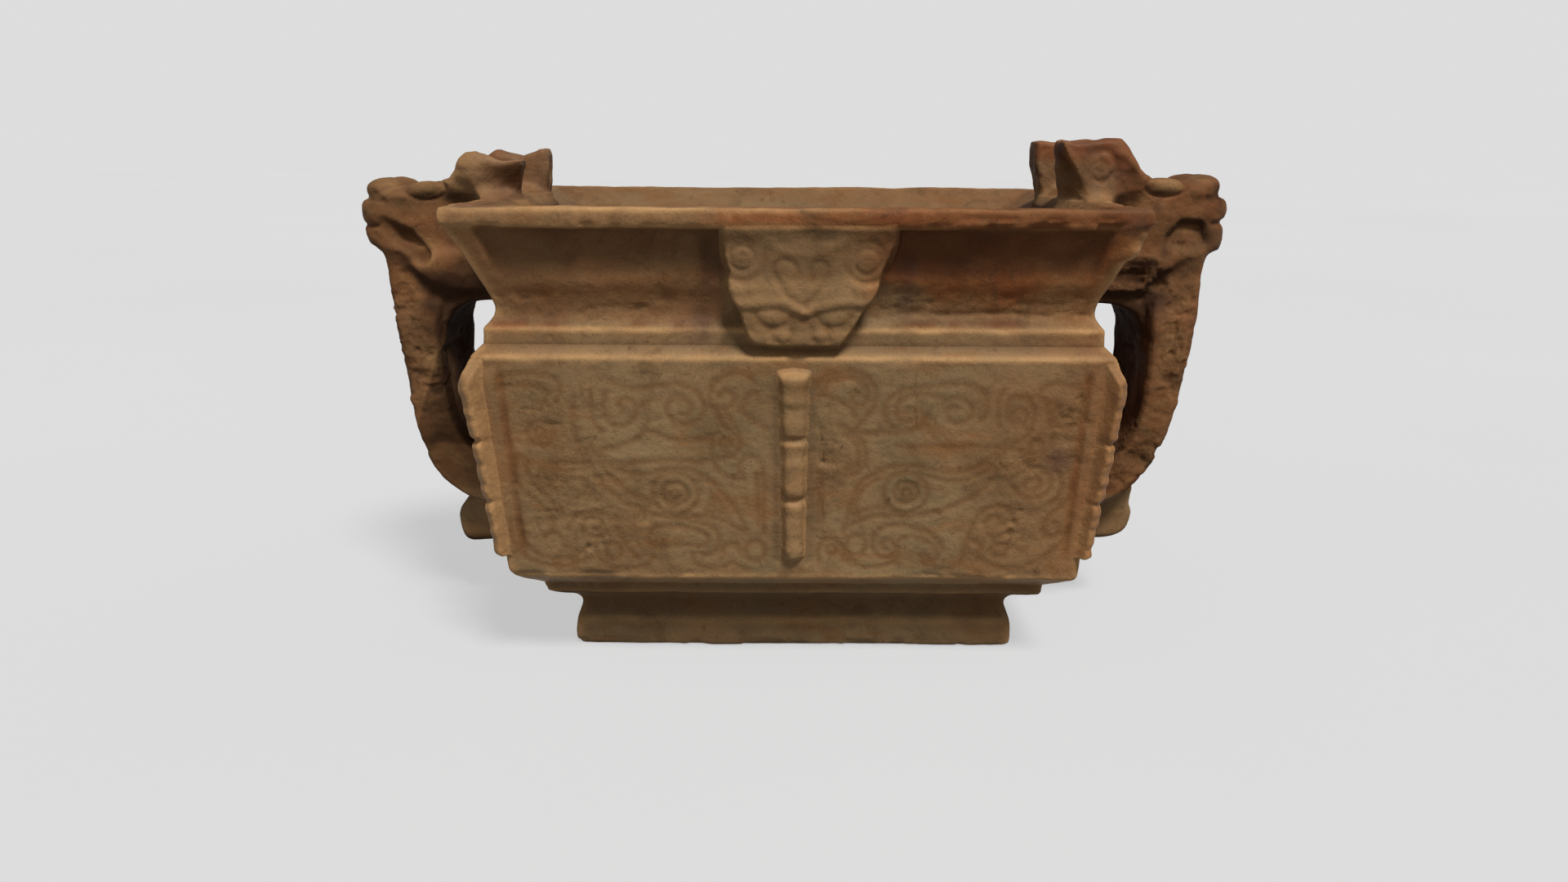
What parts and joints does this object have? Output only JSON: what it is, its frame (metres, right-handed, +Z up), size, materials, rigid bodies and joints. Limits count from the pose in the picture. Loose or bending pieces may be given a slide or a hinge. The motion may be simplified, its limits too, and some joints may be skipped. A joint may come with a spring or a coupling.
{
  "type": "handled bowl",
  "caption": "Rectangular carved stone bowl with a flared neck, animal-head strap handles, a relief mask and notched flanges, on a stepped foot.",
  "frame": {"origin": "centre of the footprint, on the surface that the foot stands on", "axes": "+Z up, +X towards the right-hand handle (the longest side), -Y towards the front face with its mask and centre flange"},
  "size_m": [0.1754, 0.084, 0.0988],
  "materials": {
    "jade_belly": "waxy, tan to olive brown",
    "jade_neck": "waxy, orange brown at the lip and dark below it",
    "jade_foot": "waxy, dark brown",
    "jade_head": "waxy, russet brown",
    "jade_strap": "waxy, brown, pitted",
    "jade_mask": "waxy, tan",
    "jade_flange": "waxy, orange tan"
  },
  "bodies": {
    "root": {"bowl_body": "jade_belly", "neck_rim": "jade_neck", "foot_ring": "jade_foot", "right_head": "jade_head", "left_head": "jade_head", "right_ear_front": "jade_head", "right_ear_back": "jade_head", "left_ear_front": "jade_head", "left_ear_back": "jade_head", "right_strap": "jade_strap", "left_strap": "jade_strap", "right_pendant": "jade_strap", "left_pendant": "jade_strap", "front_mask": "jade_mask", "back_mask": "jade_mask", "flange_front": "jade_flange", "flange_back": "jade_flange", "flange_front_right": "jade_flange", "flange_back_right": "jade_flange", "flange_front_left": "jade_flange", "flange_back_left": "jade_flange"}
  },
  "joints": []
}
